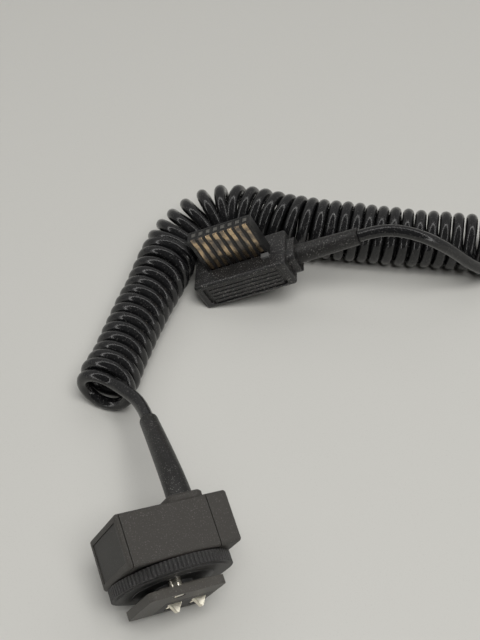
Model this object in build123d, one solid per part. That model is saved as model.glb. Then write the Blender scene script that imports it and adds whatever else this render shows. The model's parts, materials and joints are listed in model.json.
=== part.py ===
from build123d import *
import math
import os

# Coiled off-camera flash cord: a hot-shoe adapter with a locking wheel, a curly cord,
# and a many-contact flash plug. Millimetres, +Z up, the floor at z = 0.
# The adapter is built upright in its own frame (foot down, cord out of the top, front at -Y,
# origin on the wheel's axis at the housing's underside) and then laid down on the floor.
# The plug is built in a frame of its own too (grip face at -Y, contact tongue up).

# ---------------------------------------------------------------- how the pieces lie
ADAPTER_HEADING = 25.0        # turn about the vertical
ADAPTER_SLOPE = 15.9          # right-hand end down
ADAPTER_LEAN = -71.5          # tipped on to its back
PLUG_HEADING = -2.0
PLUG_SLOPE = -25.5            # cord end up
PLUG_LEAN = 0.5
PLUG_CORNER = (7.9, 76.0)     # floor point under the plug's lowest grip corner

# ---------------------------------------------------------------- adapter housing
BODY_WIDTH = 27.3
BODY_DEPTH = 19.6
BODY_HEIGHT = 12.1
BODY_LEFT = -13.9             # left face, from the wheel's axis
BODY_FRONT = -13.4            # front face, from the wheel's axis
WALL = 1.4
EDGE_ROUND = 0.7
SIDE_CAP = 1.0                # thickness of the left-hand side cap
END_COVER = 5.2               # width of the right-hand end cover
SEAM = 0.2                    # gap between cap, housing and cover
LEDGE = (3.6, 2.8)            # tongue of the end cover that lies on the floor plate: length, height
SLIP = 0.06                   # clearance of parts that push together
PANEL_MARGIN = 1.5
PANEL_DEPTH = 0.4
FLOOR_PLATE = 1.6
POST_D = 3.8                  # screw posts inside the housing's left end
HOUSING_SCREW_D = 1.6
HOUSING_SCREW_HEAD_D = 2.8
HOUSING_SCREW_HEAD = 0.8
HOUSING_SCREW_LENGTH = 3.6

# ---------------------------------------------------------------- cord entry of the adapter
GLAND_X = 4.1
GLAND_Y = -8.9
GLAND_WIDTH = 8.8
GLAND_DEPTH = 7.8
GLAND_HEIGHT = 1.6
RELIEF_BASE_D = 6.0
RELIEF_MOUTH_D = 4.6
RELIEF_SHANK_D = 4.4
RELIEF_STOP_D = 5.8           # retaining flange inside the housing
RELIEF_STOP = 1.0
RELIEF_MOUTH = (9.4, 6.0, 37.7)   # centre of the mouth, in the adapter's frame
RELIEF_RISE = 5.0             # the gland's pull on its curve
RELIEF_SECTIONS = 5

# ---------------------------------------------------------------- locking wheel and shoe foot
WHEEL_D = 28.6
WHEEL_THICK = 3.0
WHEEL_GAP = 0.3               # under the housing
WHEEL_TEETH = 90
TOOTH_DEPTH = 0.35
WHEEL_STEP_D = 26.2           # smooth lower step
WHEEL_STEP = 0.4
STEM_D = 9.0                  # threaded stem of the foot
STEM_NUT_D = 5.6              # end of the stem that is pressed into the floor plate
STEM_NUT = 1.0                # how far that end stands above the floor plate
LEAD_BORE_D = 2.8             # hole down the stem for the contacts' leads
LEAD_D = 1.0
THREAD_CLEAR = 0.05
THREAD_PITCH = 0.75
WASHER_D = 19.0
WASHER_THICK = 0.5
WASHER_PROUD = 0.1            # below the wheel
SHOE_GAP = 1.7                # between washer and foot flange, wheel fully open
FOOT_WIDTH = 18.6             # standard accessory foot
FOOT_LENGTH = 17.2
FOOT_THICK = 2.0
FOOT_FRONT = -7.7
FOOT_NECK_WIDTH = 12.2
FOOT_NECK = 0.45              # guide block on the flange, between the shoe's rails
FOOT_ROUND = 1.2
LOCK_PIN_D = 2.9
LOCK_PIN_X = -1.9
LOCK_PIN_Y = -5.9
LOCK_PIN_RECESS = 0.1         # tip inside the foot when open
PIN_CLEAR = 0.06
CONTACT_BLOCK = (11.6, 9.6)   # insulating insert in the foot, width and length
CONTACT_BLOCK_THICK = 1.75
CONTACT_BLOCK_X = 2.6
CONTACT_X = (0.0, 6.1)        # centre contact and side contact
CONTACT_Y = 2.4               # contact points
CONTACT_ROOT = 4.6            # from the point to the leaf's root
LEAF_WIDTH = 2.0
LEAF_THICK = 0.25
LEAF_RECESS = 0.4             # leaf above the foot's underside
LEAF_EYE_D = 0.7              # rolled eye at the leaf's root, on which it turns
POINT_WIDTH = 3.4
POINT_DEPTH = 1.3
POINT_PROUD = 2.0             # tip below the foot's underside
POINT_FLAT = 0.5              # width of the blunted tip
CONTACT_CLEAR = 0.15
CONTACT_TRAVEL = 6.0          # degrees about the leaf's root
FOOT_SCREW_D = 1.6
FOOT_SCREW_LENGTH = 2.2        # through the contact block and into the foot
FOOT_SCREW_SLOT = 0.3
FOOT_SCREW_ROWS = (0.6, 7.4)

# ---------------------------------------------------------------- inside the adapter
BOARD_THICK = 1.0
BOARD_Z = 5.2
BOARD_MARGIN = 0.4
STANDOFF_D = 2.4
CORD_CLAMP = (7.6, 2.4, 2.0)

# ---------------------------------------------------------------- flash plug
GRIP_LENGTH = 27.6
GRIP_HEIGHT = 9.4
GRIP_DEPTH = 12.8
GRIP_WALL = 1.2
GRIP_ROUND = 0.9
SHELL_SPLIT = 5.2             # front shell's depth, where the tongue's front plane is
PANEL_LENGTH = 23.4
PANEL_HEIGHT = 7.2
PANEL_THICK = 0.8
PANEL_SINK = 0.35             # ribs' tips below the grip's face
PANEL_ROUND = 1.3
RIB_COUNT = 5
RIB_SHARE = 0.55              # rib width as a share of its pitch
TONGUE_LEFT = 4.4             # from the grip's left end
TONGUE_WIDTH = 18.7
TONGUE_LENGTH = 12.7
TONGUE_THICK = 3.4
TONGUE_ROOT = 4.0             # inside the grip
CONTACT_COUNT = 8
CONTACT_PITCH = 2.2
BLADE_WIDTH = 1.3
BLADE_THICK = 0.3
BLADE_GROOVE = 0.5
BLADE_BULGE = 0.25            # polished head above the groove
BLADE_HEAD = 2.2
TIP_SIZE = 1.2
TIP_WINDOW = 1.4
TONGUE_LIP = 0.7              # solid edge behind the window row
KEY_SIZE = (2.2, 1.4, 0.8)
COLLAR = (2.2, 8.2, 7.4)      # along the cord, depth, height
COLLAR_ROUND = 1.6
PLUG_RELIEF_LENGTH = 17.6
PLUG_RELIEF_BASE_D = 5.5
PLUG_RELIEF_MOUTH_D = 4.7
PLUG_RELIEF_SHANK_D = 4.2
PLUG_BOARD_THICK = 0.8

# ---------------------------------------------------------------- curly cord
CORD_D = 3.3
COIL_D = 16.4
LEAD_START = 5.0              # straight run out of each strain relief
# Routes of the cord, from the adapter's side, chosen by hand. A lead starts at the mouth of its
# strain relief and runs straight for LEAD_START before these points.
ADAPTER_LEAD = [(-9.2, 33.9, 14.5), (-13.2, 38.0, 13.9), (-17.2, 40.6, 13.8)]
# The coil's route is on plan: it lies on the floor, so its axis is half its diameter up.
COIL_ROUTE = [(-18.3, 41.2), (-14.5, 54.3), (-10.4, 68.2), (-5.8, 82.2), (-1.5, 96.3), (10.1, 107.2), (21.6, 105.0),
              (33.6, 100.0), (48.1, 98.0), (67.5, 95.4), (86.8, 93.9)]
PLUG_LEAD = [(58.6, 79.8, 27.9), (64.8, 79.0, 26.8), (71.0, 79.2, 22.2), (76.0, 80.2, 16.7), (80.9, 81.4, 10.9),
             (85.6, 83.3, 6.3), (88.6, 87.1, 3.4), (88.8, 92.0, 2.4)]

PARTS = {}


def box(low, high):
    """A block between two opposite corners."""
    size = [high[i] - low[i] for i in range(3)]
    middle = [(high[i] + low[i]) / 2 for i in range(3)]
    return Pos(*middle) * Box(*size)


def rod(x, y, low, high, diameter):
    """An upright cylinder between two heights."""
    return Pos(x, y, (low + high) / 2) * Cylinder(diameter / 2, high - low)


def lying_rod(low_x, high_x, y, z, diameter):
    """A cylinder along X between two ends."""
    return Pos((low_x + high_x) / 2, y, z) * Rot(0, 90, 0) * Cylinder(diameter / 2, high_x - low_x)


def group(solids):
    """Separate equal solids that share one node."""
    return Compound(children=list(solids))


# ================================================================ adapter, in its own frame
body_right = BODY_LEFT + BODY_WIDTH
body_back = BODY_FRONT + BODY_DEPTH
seam_left = BODY_LEFT + SIDE_CAP
seam_right = body_right - END_COVER
roof = BODY_HEIGHT - WALL
inner_front = BODY_FRONT + WALL
inner_back = body_back - WALL
wheel_top = -WHEEL_GAP
wheel_bottom = wheel_top - WHEEL_THICK
washer_bottom = wheel_bottom - WASHER_PROUD
washer_top = washer_bottom + WASHER_THICK
flange_top = washer_bottom - SHOE_GAP
flange_bottom = flange_top - FOOT_THICK
foot_back = FOOT_FRONT + FOOT_LENGTH
post_x = seam_left + WALL + SLIP + POST_D / 2
ledge_x = seam_right - LEDGE[0] / 2


def side_cap():
    cap = box((BODY_LEFT, BODY_FRONT, 0), (seam_left - SEAM / 2, body_back, BODY_HEIGHT))
    cap = fillet(cap.faces().sort_by(Axis.X)[0].edges() + cap.edges().filter_by(Axis.X), EDGE_ROUND)
    recess = box((BODY_LEFT, BODY_FRONT + PANEL_MARGIN, PANEL_MARGIN),
                 (BODY_LEFT + PANEL_DEPTH, body_back - PANEL_MARGIN, BODY_HEIGHT - PANEL_MARGIN))
    return cap - recess


def side_panel():
    """Thin plate set into the side cap, where the real one carries its markings."""
    rim = PANEL_MARGIN + SLIP
    return box((BODY_LEFT + PANEL_DEPTH / 2, BODY_FRONT + rim, rim),
               (BODY_LEFT + PANEL_DEPTH, body_back - rim, BODY_HEIGHT - rim))


def screw_rows():
    return (inner_front + SLIP + POST_D / 2, inner_back - SLIP - POST_D / 2)


def screw_places():
    """Two screws into the housing's posts and two into the end cover's ledge."""
    return [(x, y) for x in (post_x, ledge_x) for y in screw_rows()]


def screw_holes():
    return group(rod(x, y, -1, HOUSING_SCREW_LENGTH + SLIP, HOUSING_SCREW_D) for x, y in screw_places())


def main_housing():
    shell = box((seam_left + SEAM / 2, BODY_FRONT, 0), (seam_right - SEAM / 2, body_back, BODY_HEIGHT))
    shell = fillet(shell.edges().filter_by(Axis.X), EDGE_ROUND)
    shell = shell - box((seam_left + WALL, inner_front, -1), (seam_right + 1, inner_back, roof))
    for y in screw_rows():
        shell = shell + rod(post_x, y, FLOOR_PLATE, roof, POST_D)
    shell = shell - screw_holes()
    return shell - rod(GLAND_X, GLAND_Y, roof - 1, BODY_HEIGHT + 1, RELIEF_SHANK_D + 2 * SLIP)


def end_cover():
    cover = box((seam_right + SEAM / 2, BODY_FRONT, 0), (body_right, body_back, BODY_HEIGHT))
    outer = cover.faces().sort_by(Axis.X)[-1].edges() + cover.edges().filter_by(Axis.X)
    cover = fillet(outer, EDGE_ROUND)
    length, height = LEDGE
    hollow = box((seam_right, inner_front, FLOOR_PLATE + height), (body_right - WALL, inner_back, roof))
    ledge = box((seam_right - length, inner_front + SLIP, FLOOR_PLATE),
                (seam_right + WALL, inner_back - SLIP, FLOOR_PLATE + height))
    return cover - hollow + ledge - screw_holes()


def housing_screws():
    """Four screws from below that hold the floor plate, the housing and the end cover together."""
    return group(rod(x, y, 0, HOUSING_SCREW_HEAD, HOUSING_SCREW_HEAD_D)
                 + rod(x, y, 0, HOUSING_SCREW_LENGTH, HOUSING_SCREW_D) for x, y in screw_places())


def floor_plate():
    """Closes the housing from below and carries the foot's stem."""
    plate = box((seam_left + WALL + SLIP, inner_front + SLIP, 0),
                (seam_right - SEAM / 2, inner_back - SLIP, FLOOR_PLATE))
    for x, y in screw_places():
        plate = plate - rod(x, y, -1, HOUSING_SCREW_HEAD, HOUSING_SCREW_HEAD_D + 2 * SLIP)
        plate = plate - rod(x, y, -1, FLOOR_PLATE + 1, HOUSING_SCREW_D + 2 * SLIP)
    return plate - rod(0, 0, -1, FLOOR_PLATE + 1, STEM_NUT_D)


def foot_stem():
    """Threaded stem between the housing and the foot; a tube, so that the leads pass through."""
    stem = rod(0, 0, flange_top + FOOT_NECK, 0, STEM_D)
    nut = rod(0, 0, -SLIP, FLOOR_PLATE + STEM_NUT, STEM_NUT_D - 2 * SLIP)
    bore = rod(0, 0, flange_top - 1, FLOOR_PLATE + STEM_NUT + 1, LEAD_BORE_D)
    return stem + nut - bore


def shoe_foot():
    plate = box((-FOOT_WIDTH / 2, FOOT_FRONT, flange_bottom), (FOOT_WIDTH / 2, foot_back, flange_top))
    plate = fillet(plate.edges().filter_by(Axis.Z), FOOT_ROUND)
    neck = box((-FOOT_NECK_WIDTH / 2, FOOT_FRONT + FOOT_ROUND, flange_top),
               (FOOT_NECK_WIDTH / 2, foot_back - FOOT_ROUND, flange_top + FOOT_NECK))
    foot = plate + neck
    width, length = CONTACT_BLOCK
    foot = foot - box((CONTACT_BLOCK_X - width / 2 - SLIP, block_front() - SLIP, flange_bottom - 1),
                      (CONTACT_BLOCK_X + width / 2 + SLIP, block_front() + length + SLIP,
                       flange_bottom + CONTACT_BLOCK_THICK))
    foot = foot - rod(LOCK_PIN_X, LOCK_PIN_Y, flange_bottom - 1, flange_top + 1, LOCK_PIN_D + 2 * PIN_CLEAR)
    foot = foot - rod(0, 0, flange_bottom + CONTACT_BLOCK_THICK, flange_top + 1, LEAD_BORE_D)
    for x, y in foot_screw_places():
        foot = foot - rod(x, y, flange_bottom - 1, flange_bottom + FOOT_SCREW_LENGTH, FOOT_SCREW_D)
    return foot


def block_front():
    return CONTACT_Y - POINT_WIDTH


def foot_screw_places():
    between_contacts = sum(CONTACT_X) / len(CONTACT_X)
    return [(between_contacts, y) for y in FOOT_SCREW_ROWS]


def foot_screws():
    """Two slotted screws between the contacts that hold the contact block in the foot."""
    screws = []
    for x, y in foot_screw_places():
        screw = rod(x, y, flange_bottom, flange_bottom + FOOT_SCREW_LENGTH, FOOT_SCREW_D)
        slot = box((x - FOOT_SCREW_D, y - FOOT_SCREW_SLOT / 2, flange_bottom - 1),
                   (x + FOOT_SCREW_D, y + FOOT_SCREW_SLOT / 2, flange_bottom + FOOT_SCREW_SLOT))
        screws.append(screw - slot)
    return group(screws)


def contact_block():
    """Insulating insert in the foot, with a slot for each contact's leaf and point."""
    width, length = CONTACT_BLOCK
    block = box((CONTACT_BLOCK_X - width / 2, block_front(), flange_bottom),
                (CONTACT_BLOCK_X + width / 2, block_front() + length, flange_bottom + CONTACT_BLOCK_THICK - SLIP))
    ceiling = flange_bottom + CONTACT_BLOCK_THICK - 2 * LEAF_THICK
    for x in CONTACT_X:
        half_point = POINT_WIDTH / 2 + CONTACT_CLEAR
        half_leaf = LEAF_WIDTH / 2 + CONTACT_CLEAR
        block = block - box((x - half_point, CONTACT_Y - POINT_DEPTH / 2 - 2 * CONTACT_CLEAR, flange_bottom - 1),
                            (x + half_point, CONTACT_Y + POINT_DEPTH / 2 + 2 * CONTACT_CLEAR, ceiling))
        block = block - box((x - half_leaf, CONTACT_Y, flange_bottom - 1),
                            (x + half_leaf, CONTACT_Y + CONTACT_ROOT + LEAF_EYE_D / 2 + CONTACT_CLEAR, ceiling))
    for x, y in foot_screw_places():
        block = block - rod(x, y, flange_bottom - 1, flange_top, FOOT_SCREW_D + 2 * SLIP)
    return block


def foot_contact(x):
    """A leaf spring with a rolled eye at its root and a pointed wedge that stands out of the foot."""
    leaf_low = flange_bottom + LEAF_RECESS
    leaf = box((x - LEAF_WIDTH / 2, CONTACT_Y, leaf_low),
               (x + LEAF_WIDTH / 2, CONTACT_Y + CONTACT_ROOT, leaf_low + LEAF_THICK))
    leaf = leaf + lying_rod(x - LEAF_WIDTH / 2, x + LEAF_WIDTH / 2, CONTACT_Y + CONTACT_ROOT,
                            leaf_low + LEAF_THICK / 2, LEAF_EYE_D)
    outline = [(x - POINT_WIDTH / 2, leaf_low + LEAF_THICK), (x + POINT_WIDTH / 2, leaf_low + LEAF_THICK),
               (x + POINT_WIDTH / 2, flange_bottom + LEAF_THICK), (x + POINT_FLAT / 2, flange_bottom - POINT_PROUD),
               (x - POINT_FLAT / 2, flange_bottom - POINT_PROUD), (x - POINT_WIDTH / 2, flange_bottom + LEAF_THICK)]
    front = Plane(origin=(0, CONTACT_Y + POINT_DEPTH / 2, 0), x_dir=(1, 0, 0), z_dir=(0, -1, 0))
    point = extrude(front * make_face(Polyline(*outline, close=True)), POINT_DEPTH)
    return leaf + point


def locking_wheel():
    """Knurled nut on the stem; its underside has a step and a seat for the washer."""
    tips = WHEEL_D / 2
    roots = tips - TOOTH_DEPTH
    step = 2 * math.pi / WHEEL_TEETH
    outline = []
    for tooth in range(WHEEL_TEETH):
        for radius, share in ((roots, 0.0), (tips, 0.3), (tips, 0.7)):
            angle = (tooth + share) * step
            outline.append((radius * math.cos(angle), radius * math.sin(angle)))
    rim = extrude(Pos(0, 0, wheel_bottom + WHEEL_STEP) * make_face(Polyline(*outline, close=True)),
                  WHEEL_THICK - WHEEL_STEP)
    wheel = rim + rod(0, 0, wheel_bottom, wheel_top, WHEEL_STEP_D)
    wheel = wheel - rod(0, 0, wheel_bottom - 1, wheel_top + 1, STEM_D + 2 * THREAD_CLEAR)
    return wheel - rod(0, 0, wheel_bottom - 1, washer_top + SLIP, WASHER_D + 2 * SLIP)


def clamp_washer():
    """Plate under the wheel that presses on the shoe's rails and carries the lock pin."""
    return (rod(0, 0, washer_bottom, washer_top, WASHER_D)
            - rod(0, 0, washer_bottom - 1, washer_top + 1, STEM_D + 2 * THREAD_CLEAR))


def lock_pin():
    pin = rod(LOCK_PIN_X, LOCK_PIN_Y, flange_bottom + LOCK_PIN_RECESS, washer_bottom, LOCK_PIN_D)
    return chamfer(pin.faces().sort_by(Axis.Z)[0].edges(), LOCK_PIN_D / 8)


def cable_gland():
    gland = box((GLAND_X - GLAND_WIDTH / 2, GLAND_Y - GLAND_DEPTH / 2, BODY_HEIGHT),
                (GLAND_X + GLAND_WIDTH / 2, GLAND_Y + GLAND_DEPTH / 2, BODY_HEIGHT + GLAND_HEIGHT))
    gland = fillet(gland.edges().filter_by(Axis.Z), GLAND_DEPTH / 4)
    gland = chamfer(gland.faces().sort_by(Axis.Z)[-1].edges(), GLAND_HEIGHT / 4)
    return gland - rod(GLAND_X, GLAND_Y, BODY_HEIGHT - 1, BODY_HEIGHT + GLAND_HEIGHT + 1, RELIEF_SHANK_D + 2 * SLIP)


def relief_path():
    """The bent centre line of the adapter's strain relief, in the adapter's frame."""
    base = Vector(GLAND_X, GLAND_Y, BODY_HEIGHT + GLAND_HEIGHT)
    return Bezier(base, base + Vector(0, 0, RELIEF_RISE), Vector(*RELIEF_MOUTH))


def adapter_strain_relief():
    path = relief_path()
    sections = []
    for i in range(RELIEF_SECTIONS + 1):
        share = i / RELIEF_SECTIONS
        radius = (RELIEF_BASE_D + (RELIEF_MOUTH_D - RELIEF_BASE_D) * share) / 2
        sections.append(Plane(origin=path @ share, z_dir=path % share) * Circle(radius))
    sleeve = loft(Sketch() + sections)
    top = BODY_HEIGHT + GLAND_HEIGHT
    shank = rod(GLAND_X, GLAND_Y, roof - RELIEF_STOP, top, RELIEF_SHANK_D)
    stop = rod(GLAND_X, GLAND_Y, roof - RELIEF_STOP, roof, RELIEF_STOP_D)
    return sleeve + shank + stop


def board_span():
    """The board's corners on plan: between the screw posts, the end cover and the housing's walls."""
    left = post_x + POST_D / 2 + BOARD_MARGIN
    right = seam_right - SEAM / 2 - BOARD_MARGIN
    return (left, inner_front + BOARD_MARGIN), (right, inner_back - BOARD_MARGIN)


def circuit_board():
    (left, front), (right, back) = board_span()
    return box((left, front, BOARD_Z), (right, back, BOARD_Z + BOARD_THICK))


def board_standoffs():
    (left, front), (right, back) = board_span()
    inset = STANDOFF_D / 2 + SLIP
    right = right - LEDGE[0]
    return group(rod(x, y, FLOOR_PLATE, BOARD_Z, STANDOFF_D)
                 for x in (left + inset, right - inset) for y in (front + inset, back - inset))


def cord_clamp():
    """Crimped clamp that keeps a pull on the cord off the board."""
    width, depth, height = CORD_CLAMP
    low = roof - RELIEF_STOP - height
    clamp = box((GLAND_X - width / 2, GLAND_Y - depth / 2, low), (GLAND_X + width / 2, GLAND_Y + depth / 2, low + height))
    return clamp - rod(GLAND_X, GLAND_Y, low - 1, low + height + 1, depth / 2)


def contact_leads():
    """Insulated wires from the board down through the stem to the contact block."""
    low = flange_bottom + CONTACT_BLOCK_THICK - SLIP
    return group(rod(side * LEAD_BORE_D / 4, 0, low, BOARD_Z, LEAD_D) for side in (-1, 1))


ADAPTER_PARTS = {
    "main_housing": main_housing(),
    "side_cap": side_cap(),
    "side_panel": side_panel(),
    "end_cover": end_cover(),
    "housing_screws": housing_screws(),
    "floor_plate": floor_plate(),
    "foot_stem": foot_stem(),
    "shoe_foot": shoe_foot(),
    "foot_screws": foot_screws(),
    "contact_block": contact_block(),
    "centre_contact": foot_contact(CONTACT_X[0]),
    "side_contact": foot_contact(CONTACT_X[1]),
    "locking_wheel": locking_wheel(),
    "clamp_washer": clamp_washer(),
    "lock_pin": lock_pin(),
    "cable_gland": cable_gland(),
    "adapter_strain_relief": adapter_strain_relief(),
    "circuit_board": circuit_board(),
    "board_standoffs": board_standoffs(),
    "cord_clamp": cord_clamp(),
    "contact_leads": contact_leads(),
}

turned = Rot(0, 0, ADAPTER_HEADING) * Rot(0, ADAPTER_SLOPE, 0) * Rot(ADAPTER_LEAN, 0, 0)
extent = Compound(children=[turned * piece for piece in ADAPTER_PARTS.values()]).bounding_box()
adapter_origin = Vector(-extent.center().X, -extent.center().Y, -extent.min.Z)
adapter_place = Pos(adapter_origin) * turned
for name, piece in ADAPTER_PARTS.items():
    PARTS[name] = adapter_place * piece
print("adapter origin", adapter_origin, "size", extent.size)

# ================================================================ plug, in its own frame
# origin at the grip's front bottom left corner: X towards the cord, Y into the grip, Z up the tongue
tongue_right = TONGUE_LEFT + TONGUE_WIDTH
tongue_back = SHELL_SPLIT + TONGUE_THICK
tongue_top = GRIP_HEIGHT + TONGUE_LENGTH
first_contact = TONGUE_LEFT + (TONGUE_WIDTH - (CONTACT_COUNT - 1) * CONTACT_PITCH) / 2
panel_left = (GRIP_LENGTH - PANEL_LENGTH) / 2
panel_low = (GRIP_HEIGHT - PANEL_HEIGHT) / 2
collar_y = GRIP_DEPTH / 2
collar_z = GRIP_HEIGHT / 2


def grip_block():
    block = box((0, 0, 0), (GRIP_LENGTH, GRIP_DEPTH, GRIP_HEIGHT))
    block = fillet(block.edges(), GRIP_ROUND)
    hollow = box((GRIP_WALL, GRIP_WALL + PANEL_THICK, GRIP_WALL),
                 (GRIP_LENGTH - GRIP_WALL, GRIP_DEPTH - GRIP_WALL - PANEL_THICK, GRIP_HEIGHT - GRIP_WALL))
    mouth = box((TONGUE_LEFT - SLIP, SHELL_SPLIT - SLIP, GRIP_HEIGHT - GRIP_WALL - 1),
                (tongue_right + SLIP, tongue_back + SLIP, GRIP_HEIGHT + 1))
    exit_hole = lying_rod(GRIP_LENGTH - GRIP_WALL - 1, GRIP_LENGTH + 1, collar_y, collar_z,
                          PLUG_RELIEF_SHANK_D + 2 * SLIP)
    return block - hollow - mouth - exit_hole


def panel_pocket(face_y, inward):
    low = min(face_y - inward, face_y + inward * (PANEL_THICK + PANEL_SINK))
    high = max(face_y - inward, face_y + inward * (PANEL_THICK + PANEL_SINK))
    pocket = box((panel_left, low, panel_low), (panel_left + PANEL_LENGTH, high, panel_low + PANEL_HEIGHT))
    return fillet(pocket.edges().filter_by(Axis.Y), PANEL_ROUND)


whole_grip = grip_block()


def half_grip(low_y, high_y):
    return whole_grip & box((-1, low_y, -1), (GRIP_LENGTH + 1, high_y, GRIP_HEIGHT + 1))


def front_shell():
    return half_grip(-1, SHELL_SPLIT - SEAM / 4) - panel_pocket(0, 1)


def rear_shell():
    return half_grip(SHELL_SPLIT + SEAM / 4, GRIP_DEPTH + 1) - panel_pocket(GRIP_DEPTH, -1)


def grip_panel(face_y, inward):
    """Ribbed plate glued into the grip."""
    back = face_y + inward * (PANEL_SINK + PANEL_THICK)
    middle = back - inward * PANEL_THICK / 2
    plate = box((panel_left + SLIP, min(back, middle), panel_low + SLIP),
                (panel_left + PANEL_LENGTH - SLIP, max(back, middle), panel_low + PANEL_HEIGHT - SLIP))
    plate = fillet(plate.edges().filter_by(Axis.Y), PANEL_ROUND - SLIP)
    pitch = (PANEL_HEIGHT - 2 * SLIP) / RIB_COUNT
    tip = face_y + inward * PANEL_SINK
    for i in range(RIB_COUNT):
        rib_middle = panel_low + SLIP + (i + 0.5) * pitch
        half = pitch * RIB_SHARE / 2
        rib = box((panel_left + PANEL_ROUND, min(tip, middle), rib_middle - half),
                  (panel_left + PANEL_LENGTH - PANEL_ROUND, max(tip, middle), rib_middle + half))
        plate = plate + rib
    return plate


def contact_places():
    return [first_contact + i * CONTACT_PITCH for i in range(CONTACT_COUNT)]


def contact_tongue():
    """Insulating tongue with a groove for each front contact and a window for each rear one."""
    tongue = box((TONGUE_LEFT, SHELL_SPLIT, GRIP_HEIGHT - TONGUE_ROOT), (tongue_right, tongue_back, tongue_top))
    flange = box((TONGUE_LEFT - 1, SHELL_SPLIT + SLIP, GRIP_HEIGHT - TONGUE_ROOT),
                 (tongue_right + 1, tongue_back, GRIP_HEIGHT - TONGUE_ROOT + 1))
    tongue = tongue + flange
    for x in contact_places():
        half = BLADE_WIDTH / 2 + SLIP / 2
        tongue = tongue - box((x - half, SHELL_SPLIT - 1, GRIP_HEIGHT - TONGUE_ROOT - 1),
                              (x + half, SHELL_SPLIT + BLADE_GROOVE, tongue_top + 1))
        window = TIP_WINDOW / 2
        tongue = tongue - box((x - window, tongue_back - TONGUE_LIP - TIP_WINDOW, tongue_top - TIP_WINDOW),
                              (x + window, tongue_back - TONGUE_LIP, tongue_top + 1))
    return tongue


def front_contacts():
    """Eight blades in the grooves, each bent over the tongue's front edge in a polished head."""
    blades = []
    for x in contact_places():
        half = BLADE_WIDTH / 2
        groove = SHELL_SPLIT + BLADE_GROOVE
        blade = box((x - half, groove - BLADE_THICK, GRIP_HEIGHT - TONGUE_ROOT), (x + half, groove, tongue_top))
        head = box((x - half, groove - BLADE_THICK - BLADE_BULGE, tongue_top - BLADE_HEAD), (x + half, groove, tongue_top))
        blades.append(blade + head)
    return group(blades)


def rear_contacts():
    """The second row: small square tips in the windows of the tongue's free edge."""
    tips = []
    for x in contact_places():
        half = TIP_SIZE / 2
        back = tongue_back - TONGUE_LIP
        tips.append(box((x - half, back - TIP_SIZE, tongue_top - TIP_WINDOW), (x + half, back, tongue_top - SLIP)))
    return group(tips)


def polarising_key():
    width, depth, height = KEY_SIZE
    return box((tongue_right - width, SHELL_SPLIT - depth - SEAM, GRIP_HEIGHT),
               (tongue_right, SHELL_SPLIT - SEAM, GRIP_HEIGHT + height))


def plug_collar():
    length, depth, height = COLLAR
    collar = box((GRIP_LENGTH, collar_y - depth / 2, collar_z - height / 2),
                 (GRIP_LENGTH + length, collar_y + depth / 2, collar_z + height / 2))
    collar = fillet(collar.edges().filter_by(Axis.X), COLLAR_ROUND)
    return collar - lying_rod(GRIP_LENGTH - 1, GRIP_LENGTH + length + 1, collar_y, collar_z,
                              PLUG_RELIEF_SHANK_D + 2 * SLIP)


def plug_strain_relief():
    start = GRIP_LENGTH + COLLAR[0]
    cone = Pos(start + PLUG_RELIEF_LENGTH / 2, collar_y, collar_z) * Rot(0, 90, 0) * Cone(
        PLUG_RELIEF_BASE_D / 2, PLUG_RELIEF_MOUTH_D / 2, PLUG_RELIEF_LENGTH)
    shank = lying_rod(GRIP_LENGTH - GRIP_WALL - RELIEF_STOP, start, collar_y, collar_z, PLUG_RELIEF_SHANK_D)
    stop = lying_rod(GRIP_LENGTH - GRIP_WALL - RELIEF_STOP, GRIP_LENGTH - GRIP_WALL, collar_y, collar_z,
                     PLUG_RELIEF_BASE_D)
    return cone + shank + stop


def plug_board():
    """Small board inside the grip that joins the contacts to the cord."""
    low = GRIP_WALL + SLIP
    return box((GRIP_WALL + 2 * BOARD_MARGIN, SHELL_SPLIT + BLADE_GROOVE, low),
               (GRIP_LENGTH - GRIP_WALL - RELIEF_STOP - 2 * BOARD_MARGIN, SHELL_SPLIT + BLADE_GROOVE + PLUG_BOARD_THICK,
                GRIP_HEIGHT - TONGUE_ROOT))


PLUG_PARTS = {
    "plug_front_shell": front_shell(),
    "plug_rear_shell": rear_shell(),
    "front_grip_panel": grip_panel(0, 1),
    "rear_grip_panel": grip_panel(GRIP_DEPTH, -1),
    "contact_tongue": contact_tongue(),
    "front_contacts": front_contacts(),
    "rear_contacts": rear_contacts(),
    "polarising_key": polarising_key(),
    "plug_collar": plug_collar(),
    "plug_strain_relief": plug_strain_relief(),
    "plug_board": plug_board(),
}

tilted = Rot(0, 0, PLUG_HEADING) * Rot(0, PLUG_SLOPE, 0) * Rot(PLUG_LEAN, 0, 0)
plug_low = (tilted * PLUG_PARTS["plug_front_shell"]).bounding_box().min.Z
plug_low = min(plug_low, (tilted * PLUG_PARTS["plug_rear_shell"]).bounding_box().min.Z)
plug_place = Pos(PLUG_CORNER[0], PLUG_CORNER[1], -plug_low) * tilted
for name, piece in PLUG_PARTS.items():
    PARTS[name] = plug_place * piece

# ================================================================ cord


def arc_radii(points):
    """The largest arc that each corner of a route allows: 0.45 of its shorter run."""
    radii = []
    for before, corner, after in zip(points, points[1:], points[2:]):
        arrive = corner - before
        leave = after - corner
        half_turn = math.radians(arrive.get_angle(leave)) / 2
        radii.append(0.45 * min(arrive.length, leave.length) / math.tan(half_turn))
    return radii


def tube(name, points, diameter):
    """A round tube along straight runs joined by tangent arcs."""
    radii = arc_radii(points)
    path = FilletPolyline(*points, radius=radii)
    solid = sweep(Plane(origin=path @ 0, z_dir=path % 0) * Circle(diameter / 2), path=path)
    expected = math.pi * diameter ** 2 / 4 * path.length
    print(name, "length %.1f" % path.length, "volume ratio %.4f" % (solid.volume / expected),
          "radii", [round(radius, 1) for radius in radii])
    return solid


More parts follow.
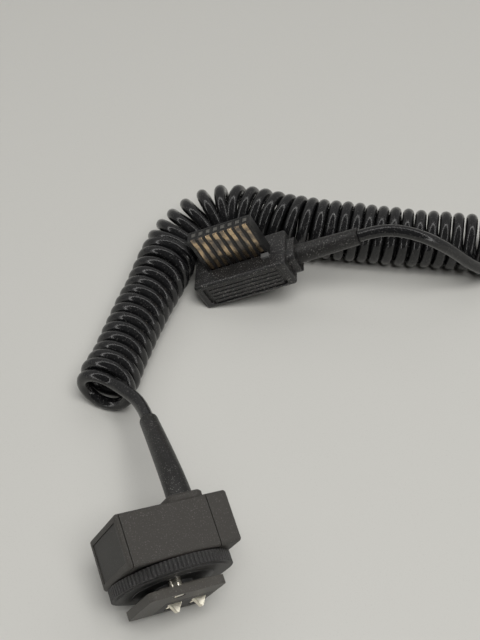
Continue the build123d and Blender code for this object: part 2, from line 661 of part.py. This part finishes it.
def lead_route(place, mouth, aim, points):
    """A lead's route: from a mouth given in its piece's own frame, straight on, then the points."""
    start = (place * Pos(*mouth)).position
    ahead = (place * Pos(*(mouth + aim.normalized() * LEAD_START))).position
    print("mouth", start, "then", ahead)
    return [start, ahead] + [Vector(*point) for point in points]


plug_mouth = Vector(GRIP_LENGTH + COLLAR[0] + PLUG_RELIEF_LENGTH, collar_y, collar_z)
adapter_route = lead_route(adapter_place, Vector(*RELIEF_MOUTH), relief_path() % 1, ADAPTER_LEAD)
plug_route = lead_route(plug_place, plug_mouth, Vector(1, 0, 0), PLUG_LEAD)
PARTS["adapter_lead"] = tube("adapter_lead", adapter_route, CORD_D)
PARTS["cord_coil"] = tube("cord_coil", [Vector(x, y, COIL_D / 2) for x, y in COIL_ROUTE], COIL_D)
PARTS["plug_lead"] = tube("plug_lead", plug_route, CORD_D)

os.makedirs("parts", exist_ok=True)
for name, piece in PARTS.items():
    piece.label = name
    export_step(piece, "parts/%s.step" % name)
print(len(PARTS), "nodes")
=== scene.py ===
# %% [markdown]
# # A coiled off-camera flash cord
# The fixed CAD frame gives every rigid piece its place and size. This lesson adds what CAD leaves
# plain: the true curly cord, and a procedural finish for each surface. All sizes are in metres.

# %% Load the frame
import json
import math

import bpy
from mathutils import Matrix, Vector


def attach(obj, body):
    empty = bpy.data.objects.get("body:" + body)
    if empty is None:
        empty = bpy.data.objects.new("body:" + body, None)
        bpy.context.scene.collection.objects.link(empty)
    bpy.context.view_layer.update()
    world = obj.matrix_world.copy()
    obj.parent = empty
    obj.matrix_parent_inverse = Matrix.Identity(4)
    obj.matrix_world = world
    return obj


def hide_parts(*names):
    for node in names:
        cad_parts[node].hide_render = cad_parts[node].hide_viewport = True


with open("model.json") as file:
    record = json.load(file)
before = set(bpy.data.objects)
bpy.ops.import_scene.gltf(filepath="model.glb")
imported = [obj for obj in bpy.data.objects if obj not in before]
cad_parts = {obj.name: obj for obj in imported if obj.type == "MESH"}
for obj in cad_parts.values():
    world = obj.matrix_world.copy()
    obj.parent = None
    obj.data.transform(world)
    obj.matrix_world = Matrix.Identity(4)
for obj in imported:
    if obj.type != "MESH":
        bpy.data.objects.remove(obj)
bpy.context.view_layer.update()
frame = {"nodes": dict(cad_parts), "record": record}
MM = 0.001

# %% [markdown]
# ## Camera
# The camera stands a hand's breadth in front of the adapter and looks down at the floor at about
# fifty degrees, a little above a normal lens's view. The cord comes next, because how far it
# spreads depends on this view.

# %% Camera
CAMERA_AT = Vector((16.86, -145.46, 256.8)) * MM
CAMERA_PITCH = math.radians(90 - 49.75)
CAMERA_LENS = 45.0
CAMERA_FILM = 24.0

camera_data = bpy.data.cameras.new("camera")
camera_data.sensor_fit = "VERTICAL"
camera_data.sensor_height = CAMERA_FILM
camera_data.lens = CAMERA_LENS
camera_data.clip_start = 0.01
camera = bpy.data.objects.new("camera", camera_data)
camera.location = CAMERA_AT
camera.rotation_euler = (CAMERA_PITCH, 0, 0)
bpy.context.scene.collection.objects.link(camera)
bpy.context.scene.camera = camera
print("camera at", tuple(CAMERA_AT))

# %% [markdown]
# ## The cord
# One cord runs from the adapter to the plug: a short free lead, the curly stretch, and a second
# lead that arches back to the plug. A curly cord could be faked with a stack of rings, but then no
# turn would lead into the next. Here the turns are points of the cord's own spline, so it is one
# continuous tube, as the real one is.

# %% The cord's route
CORD_D = 3.3 * MM
ADAPTER_LEAD = [(-5.33, 24.47, 17.96), (-6.74, 28.88, 16.09), (-9.0, 33.7, 14.5), (-13.0, 37.6, 13.7)]
COIL_ROUTE = [(-18.3, 41.2), (-14.5, 54.3), (-10.4, 68.2), (-5.2, 81.9), (-1.1, 96.1), (10.1, 107.2),
              (21.6, 105.0), (33.6, 100.0), (48.1, 98.0), (67.5, 95.4), (86.8, 93.9)]
PLUG_LEAD = [(48.83, 80.93, 24.39), (53.34, 80.78, 26.54), (58.6, 79.8, 27.9), (64.8, 79.0, 26.8),
             (71.0, 79.6, 22.6), (76.0, 81.0, 17.6), (80.9, 82.2, 12.1), (85.6, 84.1, 7.4), (88.6, 87.8, 3.9)]


def smooth_line(points):
    """The points of a smooth spline through a route, read from a curve with no thickness."""
    curve = bpy.data.curves.new("route", "CURVE")
    curve.dimensions = "3D"
    curve.resolution_u = 24
    spline = curve.splines.new("NURBS")
    spline.points.add(len(points) - 1)
    for target, point in zip(spline.points, points):
        target.co = (*point, 1)
    spline.order_u = 3
    spline.use_endpoint_u = True
    holder = bpy.data.objects.new("route", curve)
    mesh = bpy.data.meshes.new_from_object(holder)
    line = [vertex.co.copy() for vertex in mesh.vertices]
    bpy.data.objects.remove(holder)
    bpy.data.curves.remove(curve)
    bpy.data.meshes.remove(mesh)
    return line


coil_axis = smooth_line([Vector((x, y, 0)) * MM for x, y in COIL_ROUTE])
axis_reach = [0.0]
for here, after in zip(coil_axis, coil_axis[1:]):
    axis_reach.append(axis_reach[-1] + (after - here).length)
coil_length = axis_reach[-1]
print("coil axis", round(coil_length / MM, 1), "mm from", len(coil_axis), "points")

# %% [markdown]
# The curly stretch isn't even. The turns at the adapter's end are a little smaller, the bend
# pulls them apart, those on the right are wider and nearly touch, and the last one before the
# plug's lead hangs loose. So the pitch and the radius are tables over the distance along the coil.

# %% The turns of the curly stretch
STEPS_PER_TURN = 16
# (distance along the axis, value), all in mm: the pitch, and the radius of a turn's centre line
PITCHES = [(0, 3.3), (12, 3.5), (22, 3.36), (36, 3.28), (40, 3.65), (44, 4.18), (48, 4.35), (58, 4.25),
           (66, 4.35), (69.5, 3.9), (73, 3.38), (80, 3.63), (98, 3.76), (104, 3.48), (118, 3.4), (126, 3.7),
           (136, 3.53), (145, 3.8), (150, 4.2)]
RADII = [(0, 5.6), (1.5, 6.4), (6, 6.15), (12, 5.75), (34, 5.95), (46, 6.6), (75, 6.55), (85, 6.75),
         (95, 7.1), (120, 6.87), (150, 6.48)]
# (distance, slope): how far a turn leans back at the bend, where it is pulled over
LEANS = [(0, 0), (48, 0), (55, 0.62), (62, 0.62), (67, 0.5), (71, 0.3), (75, 0.1), (80, 0)]
FIRST_ANGLE = math.radians(-25)
# the first turn leans towards the adapter between these two counts of turns
END_TURN_LEAN = 1.6 * MM
LEAN_FROM, LEAN_TO = 0.25, 0.95
UNDERNEATH = math.cos(math.radians(165))
# hand-wound unevenness: how much the radius swings, and two rates a turn that never line up
SWING = 0.006
SWING_RATES = (1.7, 0.61)
FLOOR_CLEARANCE = 0.1 * MM


def at_distance(distance):
    """Where the coil's axis is at a distance from its start, and which way it runs."""
    i = 0
    while i < len(axis_reach) - 2 and axis_reach[i + 1] < distance:
        i += 1
    span = axis_reach[i + 1] - axis_reach[i]
    share = (distance - axis_reach[i]) / span
    place = coil_axis[i].lerp(coil_axis[i + 1], share)
    ahead = (coil_axis[i + 1] - coil_axis[i]).normalized()
    return place, ahead


def from_table(table, distance):
    """A value read from a table of (distance, value) in mm, straight between its rows."""
    mm = distance / MM
    for (low, value_a), (high, value_b) in zip(table, table[1:]):
        if mm <= high:
            share = max(0.0, (mm - low) / (high - low))
            return (value_a + (value_b - value_a) * share) * MM
    return table[-1][1] * MM


def curly_points():
    """Control points of the helix, wound left-handed round the coil's axis."""
    points = []
    distance = 0.0
    angle = FIRST_ANGLE
    # a spline of order 3 cuts inside its points by this much on a circle
    swell = 1 / math.cos(math.pi / STEPS_PER_TURN)
    # past the axis's end the last turn goes on until it is underneath, where the plug's lead begins
    while distance < coil_length or math.cos(angle) > UNDERNEATH:
        place, ahead = at_distance(distance)
        pitch = from_table(PITCHES, distance)
        radius = from_table(RADII, distance)
        up = Vector((0, 0, 1))
        left = up.cross(ahead)
        turn = angle / math.tau
        radius *= 1 + SWING * math.sin(SWING_RATES[0] * turn) + SWING * math.sin(SWING_RATES[1] * turn + 2)
        reach = radius * swell
        centre = place + up * (radius + CORD_D / 2 + FLOOR_CLEARANCE)
        lean = 0.0
        if LEAN_FROM < turn < LEAN_TO:
            lean = math.sin(math.pi * (turn - LEAN_FROM) / (LEAN_TO - LEAN_FROM)) ** 2
        back = END_TURN_LEAN * lean + from_table(LEANS, distance) / MM * reach * math.cos(angle)
        points.append(centre + (up * math.cos(angle) + left * math.sin(angle)) * reach - ahead * back)
        distance += pitch / STEPS_PER_TURN
        angle += math.tau / STEPS_PER_TURN
    return points, (angle - FIRST_ANGLE) / math.tau


turns, turn_count = curly_points()
print("turns", round(turn_count, 2), "end", tuple(turns[-1]))

# %% [markdown]
# Two leads and the turns now become one open spline with a round section. A mesh swept along the
# same line would be heavier to change and would lose its length; a curve keeps both. Its box grows
# by each point's radius, so the points carry the true radius and the bevel itself is 1.

# %% The cord as one spline
cord_points = [Vector(point) * MM for point in ADAPTER_LEAD] + turns
cord_points += [Vector(point) * MM for point in reversed(PLUG_LEAD)]

cord_curve = bpy.data.curves.new("curly_cord", "CURVE")
cord_curve.dimensions = "3D"
cord_curve.resolution_u = 4
cord_curve.bevel_depth = 1.0
cord_curve.bevel_resolution = 6
cord_curve.use_fill_caps = True
spline = cord_curve.splines.new("NURBS")
spline.points.add(len(cord_points) - 1)
for target, point in zip(spline.points, cord_points):
    target.co = (*point, 1)
    target.radius = CORD_D / 2
spline.order_u = 3
spline.use_endpoint_u = True
curly_cord = bpy.data.objects.new("curly_cord", cord_curve)
bpy.context.scene.collection.objects.link(curly_cord)
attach(curly_cord, "root")
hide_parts("adapter_lead", "cord_coil", "plug_lead")

middle_line = smooth_line(cord_points)

# %% [markdown]
# ## Shared effects
# Node groups hold what several finishes share. Each puts out only masks, heights or colours, and
# the shader itself stays in the material. The small helpers come first: an empty group with named
# sockets, a Math node, and a noise in the piece's own space, which needs no unwrapping.

# %% Helpers for node groups


def new_group(name, inputs, outputs):
    """An empty node group with float inputs {name: default} and outputs {name: socket type}."""
    group = bpy.data.node_groups.new(name, "ShaderNodeTree")
    for label, default in inputs.items():
        socket = group.interface.new_socket(label, in_out="INPUT", socket_type="NodeSocketFloat")
        socket.default_value = default
    for label, kind in outputs.items():
        group.interface.new_socket(label, in_out="OUTPUT", socket_type=kind)
    return group, group.nodes.new("NodeGroupInput"), group.nodes.new("NodeGroupOutput")


def maths(tree, operation, a, b=None, clamp=False):
    """A Math node whose inputs are numbers or sockets."""
    node = tree.nodes.new("ShaderNodeMath")
    node.operation = operation
    node.use_clamp = clamp
    for socket, value in zip(node.inputs, (a, b)):
        if value is None:
            continue
        if isinstance(value, (int, float)):
            socket.default_value = value
        else:
            tree.links.new(value, socket)
    return node.outputs[0]


def noise(tree, scale, detail=2.0):
    """Noise over the surface in the object's own place; scale is per metre."""
    place = tree.nodes.new("ShaderNodeTexCoord")
    node = tree.nodes.new("ShaderNodeTexNoise")
    node.inputs["Detail"].default_value = detail
    if isinstance(scale, (int, float)):
        node.inputs["Scale"].default_value = scale
    else:
        tree.links.new(scale, node.inputs["Scale"])
    tree.links.new(place.outputs["Object"], node.inputs["Vector"])
    return node.outputs["Fac"]


print("helpers: new_group, maths, noise")

# %% [markdown]
# Moulded plastic has the fine grain that spark erosion leaves in its mould, and handling polishes
# it in patches. A tiled image of grain would show its repeats, and real dents need millions of
# faces. Fine noise read as height gives the grain, and slow noise shifts the gloss.

# %% Group: moulded grain
PATCHES = 90.0                  # gloss patches per metre


def make_grain_group():
    """Fine spark-eroded grain of a mould, with a slow change of gloss over it."""
    group, inlet, outlet = new_group("moulded_grain", {"Grains per metre": 4000, "Gloss spread": 0.08},
                                     {"Height": "NodeSocketFloat", "Gloss shift": "NodeSocketFloat"})
    grain = noise(group, inlet.outputs["Grains per metre"], 3.0)
    group.links.new(grain, outlet.inputs["Height"])
    patches = maths(group, "SUBTRACT", noise(group, PATCHES, 3.0), 0.5)
    shift = maths(group, "MULTIPLY", patches, inlet.outputs["Gloss spread"])
    group.links.new(shift, outlet.inputs["Gloss shift"])
    return group


grain_group = make_grain_group()
print("group", grain_group.name)

# %% [markdown]
# Black plastic that has been in a bag carries pale lint and scuffs. Loose specks as meshes would
# have to follow every face. Here a fine noise is cut off near its peaks, so that only separate
# specks are left, and a slow noise gathers them in places.

# %% Group: dust specks
SPECK_CUT = 0.62                # only noise above this is a speck
SPECK_EDGE = 12.0               # how sharp a speck's edge is
DUSTY_PLACES = 60.0             # per metre


def make_dust_group():
    """Sparse pale specks of dust, where a fine noise rises above a threshold."""
    group, inlet, outlet = new_group("dust_specks", {"Specks per metre": 2200, "Amount": 0.3},
                                     {"Mask": "NodeSocketFloat"})
    fine = noise(group, inlet.outputs["Specks per metre"], 1.0)
    where = noise(group, DUSTY_PLACES, 2.0)
    peaks = maths(group, "MULTIPLY", maths(group, "SUBTRACT", fine, SPECK_CUT), SPECK_EDGE, clamp=True)
    spread = maths(group, "MULTIPLY", peaks, where)
    group.links.new(maths(group, "MULTIPLY", spread, inlet.outputs["Amount"]), outlet.inputs["Mask"])
    return group


dust_group = make_dust_group()
print("group", dust_group.name)

# %% [markdown]
# Edges of moulded shells are a little round and rub pale first. Rounding the CAD's edges again
# would change the fixed shapes. The Bevel node gives the rounded normal for shading alone, and
# where it turns away from the true one, there is an edge to wear.

# %% Group: worn edges
EDGE_ROUND = 0.25 * MM
EDGE_GAIN = 5.0                 # how quickly a turned normal counts as worn
WEAR_BREAKS = 700.0             # per metre, where the wear is broken up


def make_edge_group():
    """Finds edges by comparing the true normal with one rounded over a small radius."""
    group, inlet, outlet = new_group("worn_edges", {"Amount": 0.5},
                                     {"Mask": "NodeSocketFloat", "Rounded normal": "NodeSocketVector"})
    bevel = group.nodes.new("ShaderNodeBevel")
    bevel.samples = 6
    bevel.inputs["Radius"].default_value = EDGE_ROUND
    surface = group.nodes.new("ShaderNodeNewGeometry")
    dot = group.nodes.new("ShaderNodeVectorMath")
    dot.operation = "DOT_PRODUCT"
    group.links.new(bevel.outputs["Normal"], dot.inputs[0])
    group.links.new(surface.outputs["Normal"], dot.inputs[1])
    turned = maths(group, "SUBTRACT", 1.0, dot.outputs["Value"])
    sharp = maths(group, "MULTIPLY", turned, EDGE_GAIN, clamp=True)
    broken = maths(group, "MULTIPLY", sharp, noise(group, WEAR_BREAKS, 3.0))
    group.links.new(maths(group, "MULTIPLY", broken, inlet.outputs["Amount"]), outlet.inputs["Mask"])
    group.links.new(bevel.outputs["Normal"], outlet.inputs["Rounded normal"])
    return group


edge_group = make_edge_group()
print("group", edge_group.name)

# %% [markdown]
# ## Materials
# Every finish is the same recipe with its own values: a base colour that edge wear and dust
# lighten, a roughness that drifts a little, and a grain that only the bump sees. One recipe was
# chosen over a material built by hand for each piece, because the black pieces differ by small
# steps, and those are easy to compare side by side as values.

# %% The recipe
DUST_COLOUR = (0.5, 0.48, 0.45)
STAINS = 260.0                  # per metre, on tarnished metal
STAIN_CUT = 0.42
STAIN_EDGE = 6.0


def place_group(tree, group, **values):
    """An instance of a node group, with its inputs set by name."""
    node = tree.nodes.new("ShaderNodeGroup")
    node.node_tree = group
    for label, value in values.items():
        node.inputs[label.replace("_", " ")].default_value = value
    return node


def mix_colour(tree, mask, first, second):
    """A colour that goes from first to second with a mask; each is a socket or an RGB value."""
    node = tree.nodes.new("ShaderNodeMix")
    node.data_type = "RGBA"
    tree.links.new(mask, node.inputs["Factor"])
    for socket, value in zip((node.inputs[6], node.inputs[7]), (first, second)):
        if isinstance(value, tuple):
            socket.default_value = (*value, 1)
        else:
            tree.links.new(value, socket)
    return node.outputs[2]


def finish(name, colour, roughness, metallic=0.0, grains=4000, grain_depth=0.0, spread=0.08, dust=0.0,
           specks=2200, wear=0.0, wear_colour=(0.3, 0.3, 0.3), tarnish=None, specular=0.5):
    """One material; grain_depth is in metres, grains and specks are per metre."""
    material = bpy.data.materials.new(name)
    material.use_nodes = True
    tree = material.node_tree
    shader = tree.nodes["Principled BSDF"]
    shader.inputs["Metallic"].default_value = metallic
    shader.inputs["Specular IOR Level"].default_value = specular
    grain = place_group(tree, grain_group, Grains_per_metre=grains, Gloss_spread=spread)
    edges = place_group(tree, edge_group, Amount=wear)
    dusting = place_group(tree, dust_group, Specks_per_metre=specks, Amount=dust)
    worn = mix_colour(tree, edges.outputs["Mask"], colour, wear_colour)
    if tarnish:
        above = maths(tree, "SUBTRACT", noise(tree, STAINS, 2.0), STAIN_CUT)
        worn = mix_colour(tree, maths(tree, "MULTIPLY", above, STAIN_EDGE, clamp=True), worn, tarnish)
    dusty = mix_colour(tree, dusting.outputs["Mask"], worn, DUST_COLOUR)
    tree.links.new(dusty, shader.inputs["Base Color"])
    uneven = maths(tree, "ADD", roughness, grain.outputs["Gloss shift"], clamp=True)
    tree.links.new(uneven, shader.inputs["Roughness"])
    bump = tree.nodes.new("ShaderNodeBump")
    bump.inputs["Distance"].default_value = grain_depth
    tree.links.new(grain.outputs["Height"], bump.inputs["Height"])
    tree.links.new(edges.outputs["Rounded normal"], bump.inputs["Normal"])
    tree.links.new(bump.outputs["Normal"], shader.inputs["Normal"])
    return material


print("recipe: finish()")

# %% [markdown]
# The housing is a warm grey-black with a coarse grain, the plug is blacker, glossier and more
# scuffed, and the cord's jacket is smooth enough to mirror thin lines. The steel pin and the foot's
# contacts are bright, and the plug's gilt contacts are tarnished in patches.

# %% The finishes, one for each material slot of the record
FINISHES = {
    "housing_plastic": finish("housing_plastic", (0.040, 0.0365, 0.032), 0.60, grain_depth=0.03 * MM,
                              dust=0.22, specks=3400, wear=0.35, wear_colour=(0.13, 0.12, 0.11)),
    "panel_film": finish("panel_film", (0.017, 0.0155, 0.014), 0.55, grain_depth=0.02 * MM, dust=0.15,
                         specks=3400, wear=0.3, wear_colour=(0.12, 0.11, 0.10)),
    "wheel_plastic": finish("wheel_plastic", (0.022, 0.021, 0.0205), 0.55, grain_depth=0.02 * MM, dust=0.2,
                            specks=3200, wear=0.4, wear_colour=(0.12, 0.12, 0.12)),
    "dark_metal": finish("dark_metal", (0.020, 0.020, 0.020), 0.45, grain_depth=0.01 * MM, wear=0.5,
                         wear_colour=(0.20, 0.19, 0.18)),
    "foot_metal": finish("foot_metal", (0.055, 0.050, 0.043), 0.5, grain_depth=0.02 * MM, dust=0.2,
                         specks=3200, wear=0.5, wear_colour=(0.22, 0.20, 0.17)),
    "pin_steel": finish("pin_steel", (0.80, 0.76, 0.66), 0.16, metallic=1.0),
    "contact_metal": finish("contact_metal", (0.95, 0.90, 0.76), 0.28, metallic=1.0,
                            grain_depth=0.002 * MM),
    "plug_contacts": finish("plug_contacts", (0.66, 0.50, 0.32), 0.25, metallic=1.0, grain_depth=0.002 * MM,
                            tarnish=(0.17, 0.15, 0.135)),
    "inner_plastic": finish("inner_plastic", (0.020, 0.0195, 0.019), 0.55, grain_depth=0.02 * MM, dust=0.1),
    "tongue_plastic": finish("tongue_plastic", (0.008, 0.008, 0.008), 0.35, grain_depth=0.01 * MM, dust=0.3,
                             specks=3000),
    "key_plastic": finish("key_plastic", (0.13, 0.13, 0.125), 0.4, grain_depth=0.01 * MM, wear=0.3),
    "plug_plastic": finish("plug_plastic", (0.014, 0.0135, 0.0135), 0.34, grain_depth=0.04 * MM, dust=0.85,
                           specks=3000, wear=0.6, wear_colour=(0.16, 0.16, 0.155)),
    "grip_panel": finish("grip_panel", (0.019, 0.0185, 0.018), 0.34, grain_depth=0.03 * MM, dust=0.9,
                         specks=3000, wear=0.8, wear_colour=(0.20, 0.20, 0.195)),
    "relief_rubber": finish("relief_rubber", (0.013, 0.0125, 0.012), 0.40, grain_depth=0.04 * MM, dust=0.5,
                            specks=3000, specular=0.4),
    "cord_jacket": finish("cord_jacket", (0.008, 0.008, 0.0085), 0.19, grains=1500, grain_depth=0.001 * MM,
                          spread=0.1, dust=0.15),
    "lead_jacket": finish("lead_jacket", (0.35, 0.05, 0.04), 0.35),
    "black_screws": finish("black_screws", (0.03, 0.03, 0.03), 0.4, metallic=0.6),
    "board": finish("board", (0.04, 0.2, 0.09), 0.35),
}
print("finishes", len(FINISHES))

# %% [markdown]
# Each CAD piece gets the finish of its slot. Two groups get their own: the small contacts in the
# plug's end are duller than those of the foot, and the foot's screws are painted like the foot.

# %% Put each finish on its pieces
OWN_FINISH = {"rear_contacts": finish("dull_contacts", (0.24, 0.235, 0.22), 0.35, metallic=1.0),
              "foot_screws": FINISHES["foot_metal"]}
for row in frame["record"]["subparts"]:
    node = frame["nodes"][row["node"]]
    node.data.materials.clear()
    node.data.materials.append(OWN_FINISH.get(row["node"]) or FINISHES[row["material_slot"]])
cord_curve.materials.append(FINISHES["cord_jacket"])
print("own finish", sorted(OWN_FINISH))

# %% [markdown]
# ## Floor and light
# The cord lies on a plain pale table top. A flat plane is enough, because nothing sinks into it.

# %% Floor
FLOOR_COLOUR = (0.62, 0.61, 0.57)
FLOOR_SIZE = 2.4
bpy.ops.mesh.primitive_plane_add(size=FLOOR_SIZE, location=(0, 0, 0))
floor = bpy.context.object
floor.name = "floor"
floor.data.materials.append(finish("floor_paint", FLOOR_COLOUR, 0.6, spread=0.05, dust=0.35))
print("floor", FLOOR_SIZE, "m")

# %% [markdown]
# Two soft lamps, one over the viewer's shoulder and one as wide as a ceiling, light what is matt.
# They aren't seen in gloss, which mirrors the room instead. So the shadows stay pale, and the
# reflections stay those of a table by a window.

# %% Light


def soft_lamp(name, place, target, size, power):
    """A square lamp that faces a point and doesn't show in gloss."""
    data = bpy.data.lights.new(name, "AREA")
    data.size = size
    data.energy = power
    lamp = bpy.data.objects.new(name, data)
    lamp.location = place
    lamp.rotation_euler = (Vector(target) - Vector(place)).to_track_quat("-Z", "Y").to_euler()
    lamp.visible_glossy = False
    bpy.context.scene.collection.objects.link(lamp)
    return lamp


soft_lamp("shoulder_lamp", (0.20, -0.35, 1.0), (0.03, 0.05, 0.0), 0.6, 8.6)
soft_lamp("ceiling", (0.0, 0.30, 0.9), (0.0, 0.30, 0.0), 1.6, 4.6)
print("lamps 2")

# %% [markdown]
# The room is bright behind and to the sides, and dark round the viewer, who leans over the table.
# Between the two runs a bright rim, which draws the thin lines along every turn of the cord.

# %% Room
VIEWER = Vector((0.0, -0.64, 0.77))     # the direction of the dark side's middle
DARK_SIDE = 0.10
BRIGHT_SIDE = 0.40
RIM = 9.0
RIM_AT = 0.50                           # the rim's place, as a cosine from the viewer
RIM_HALF_WIDTH = 0.045
WALL = 0.62

world = bpy.data.worlds.new("room")
world.use_nodes = True
room = world.node_tree
look = room.nodes.new("ShaderNodeTexCoord")
towards = room.nodes.new("ShaderNodeVectorMath")
towards.operation = "DOT_PRODUCT"
room.links.new(look.outputs["Generated"], towards.inputs[0])
towards.inputs[1].default_value = VIEWER
edge = room.nodes.new("ShaderNodeMapRange")
edge.interpolation_type = "SMOOTHSTEP"
edge.inputs["From Min"].default_value = RIM_AT - RIM_HALF_WIDTH
edge.inputs["From Max"].default_value = RIM_AT + RIM_HALF_WIDTH
edge.inputs["To Min"].default_value = BRIGHT_SIDE
edge.inputs["To Max"].default_value = DARK_SIDE
room.links.new(towards.outputs["Value"], edge.inputs["Value"])
off_rim = maths(room, "ABSOLUTE", maths(room, "SUBTRACT", towards.outputs["Value"], RIM_AT))
rim = maths(room, "SUBTRACT", 1.0, maths(room, "DIVIDE", off_rim, RIM_HALF_WIDTH), clamp=True)
glow = maths(room, "ADD", edge.outputs["Result"], maths(room, "MULTIPLY", rim, RIM))
# looked at straight, the room is a plain pale wall
seen = room.nodes.new("ShaderNodeLightPath").outputs["Is Camera Ray"]
unseen = maths(room, "SUBTRACT", 1.0, seen)
strength = maths(room, "ADD", maths(room, "MULTIPLY", glow, unseen), maths(room, "MULTIPLY", seen, WALL))
room.nodes["Background"].inputs["Color"].default_value = (1.0, 0.99, 0.965, 1)
room.links.new(strength, room.nodes["Background"].inputs["Strength"])
bpy.context.scene.world = world
world.cycles_visibility.diffuse = False
bpy.context.scene.view_settings.view_transform = "Standard"
print("room: rim", RIM, "bright side", BRIGHT_SIDE, "dark side", DARK_SIDE)

# %% Update the scene
bpy.context.view_layer.update()
